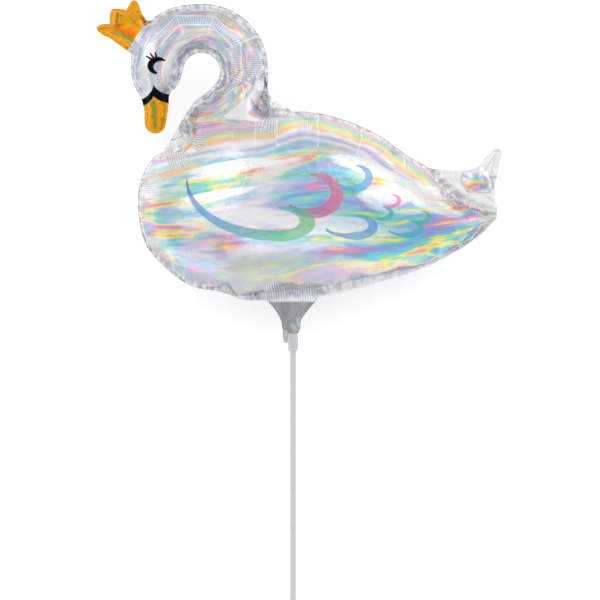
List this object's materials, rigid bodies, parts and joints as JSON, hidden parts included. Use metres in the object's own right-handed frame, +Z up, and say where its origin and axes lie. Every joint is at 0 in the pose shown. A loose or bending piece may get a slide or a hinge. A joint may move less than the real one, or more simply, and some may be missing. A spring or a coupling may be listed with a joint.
{
  "type": "swan foil balloon on a stick",
  "caption": "Air-filled foil balloon in the shape of a crowned swan, lying on its side, with a collar and a straight hand-held stick below it.",
  "frame": {"origin": "centre of the bounding box's underside, on the floor that the balloon lies on", "axes": "+Z up, +Y from the stick towards the swan's crown, +X from the swan's breast towards its tail"},
  "size_m": [0.3556, 0.6933, 0.1228],
  "materials": {
    "foil": "glossy iridescent metallised film with gold and coloured print",
    "collar": "milky, slightly clear moulded plastic",
    "stick": "satin white"
  },
  "bodies": {
    "root": {"foil_balloon": "foil", "collar": "collar", "stick": "stick"}
  },
  "joints": []
}
